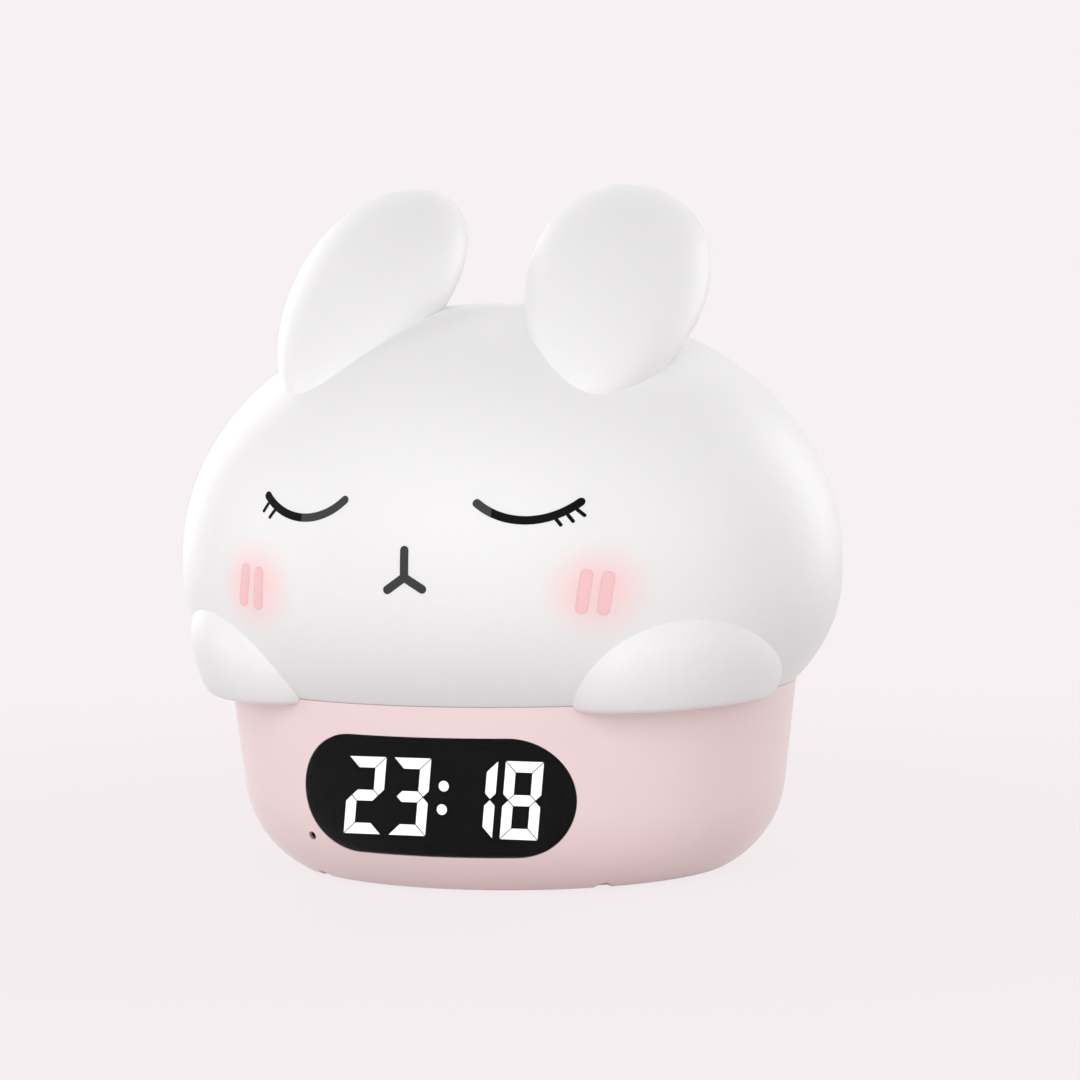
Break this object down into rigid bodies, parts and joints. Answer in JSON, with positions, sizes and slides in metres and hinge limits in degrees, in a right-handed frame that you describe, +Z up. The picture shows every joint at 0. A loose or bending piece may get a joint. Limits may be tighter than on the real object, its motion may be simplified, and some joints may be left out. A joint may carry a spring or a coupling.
{
  "type": "bedside alarm clock with night light",
  "caption": "Children's digital alarm clock: soft animal head night light with ears and paws over an oval base that holds a dark display, rear keys and a charge socket.",
  "frame": {"origin": "on the table, under the middle of the clock's overall box", "axes": "+X across the face towards the ear that the viewer sees on the right, +Y from the face to the back, +Z up; the clock is the same on both sides of X = 0 apart from its display and control panel"},
  "size_m": [0.13, 0.1196, 0.1323],
  "materials": {
    "cover_silicone": "soft matte silicone, cast in colour, face printed on it",
    "base_pink": "satin moulded plastic, pale pink",
    "white_plastic": "plain moulded plastic",
    "diffuser_plastic": "milky frosted plastic",
    "window_plastic": "smoked clear plastic, polished",
    "tape_black": "black adhesive film",
    "display_black": "fine matte black",
    "digit_lit": "white light blocks, lit",
    "digit_dark": "white light blocks behind smoke, unlit",
    "board_green": "green solder mask",
    "board_white": "white solder mask",
    "chip_black": "moulded black",
    "lamp_yellow": "clear resin over yellow phosphor",
    "socket_white": "natural nylon",
    "steel": "zinc plated",
    "socket_steel": "nickel plated",
    "capacitor_can": "drawn can",
    "magnet_steel": "plated",
    "cone_paper": "pressed paper",
    "foam_black": "closed cell foam",
    "foot_rubber": "dense matte rubber",
    "battery_wrap": "foil pouch",
    "wire_cover": "soft insulation",
    "ribbon_white": "flat film",
    "key_pink": "satin moulded plastic, pale pink",
    "plunger_black": "moulded black"
  },
  "bodies": {
    "clock": {"silicone_cover": "cover_silicone", "clamp_ring": "white_plastic", "clamp_ring_screws": "steel", "top_deck": "white_plastic", "diffuser_cup": "diffuser_plastic", "diffuser_screws": "steel", "lamp_board": "board_white", "lamp_board_screws": "steel", "lamp_leds": "lamp_yellow", "lamp_socket": "socket_white", "base_housing": "base_pink", "display_window": "window_plastic", "window_tape": "tape_black", "display_block": "display_black", "digit_segments_lit": "digit_lit", "digit_segments_dark": "digit_dark", "display_board": "board_green", "display_board_screws": "steel", "light_sensor": "lamp_yellow", "sensor_sleeve": "foam_black", "tact_switches": "chip_black", "key_board": "board_green", "key_board_screws": "steel", "bottom_plate": "base_pink", "base_screws": "steel", "foot_pads": "foot_rubber", "speaker_gasket": "foam_black", "speaker_frame": "steel", "speaker_cone": "cone_paper", "speaker_magnet": "magnet_steel", "main_board": "board_green", "main_board_screws": "steel", "board_chips": "chip_black", "board_capacitors": "capacitor_can", "board_sockets": "socket_white", "tap_sensor": "capacitor_can", "usb_socket_shell": "socket_steel", "usb_socket_core": "chip_black", "power_switch_body": "socket_steel", "battery_cell": "battery_wrap", "battery_foam": "foam_black", "lamp_lead": "wire_cover", "battery_lead": "wire_cover", "speaker_lead": "wire_cover", "display_ribbon": "ribbon_white", "key_ribbon": "ribbon_white"},
    "key_mode": {"key_mode": "key_pink", "plunger_mode": "plunger_black"},
    "key_minus": {"key_minus": "key_pink", "plunger_minus": "plunger_black"},
    "key_plus": {"key_plus": "key_pink", "plunger_plus": "plunger_black"},
    "key_alarm": {"key_alarm": "key_pink", "plunger_alarm": "plunger_black"},
    "key_light": {"key_light": "key_pink", "plunger_light": "plunger_black"},
    "power_knob": {"power_switch_knob": "plunger_black"}
  },
  "joints": [
    {"name": "press_mode", "type": "slide", "parent": "clock", "child": "key_mode", "axis": [0, -1, 0], "range_m": [0, 0.0006], "stiffness_N_per_m": 2000},
    {"name": "press_minus", "type": "slide", "parent": "clock", "child": "key_minus", "axis": [0, -1, 0], "range_m": [0, 0.0006], "stiffness_N_per_m": 2000},
    {"name": "press_plus", "type": "slide", "parent": "clock", "child": "key_plus", "axis": [0, -1, 0], "range_m": [0, 0.0006], "stiffness_N_per_m": 2000},
    {"name": "press_alarm", "type": "slide", "parent": "clock", "child": "key_alarm", "axis": [0, -1, 0], "range_m": [0, 0.0006], "stiffness_N_per_m": 2000},
    {"name": "press_light", "type": "slide", "parent": "clock", "child": "key_light", "axis": [0, -1, 0], "range_m": [0, 0.0006], "stiffness_N_per_m": 2000},
    {"name": "power_slide", "type": "slide", "parent": "clock", "child": "power_knob", "axis": [1, 0, 0], "range_m": [0, 0.002]}
  ]
}
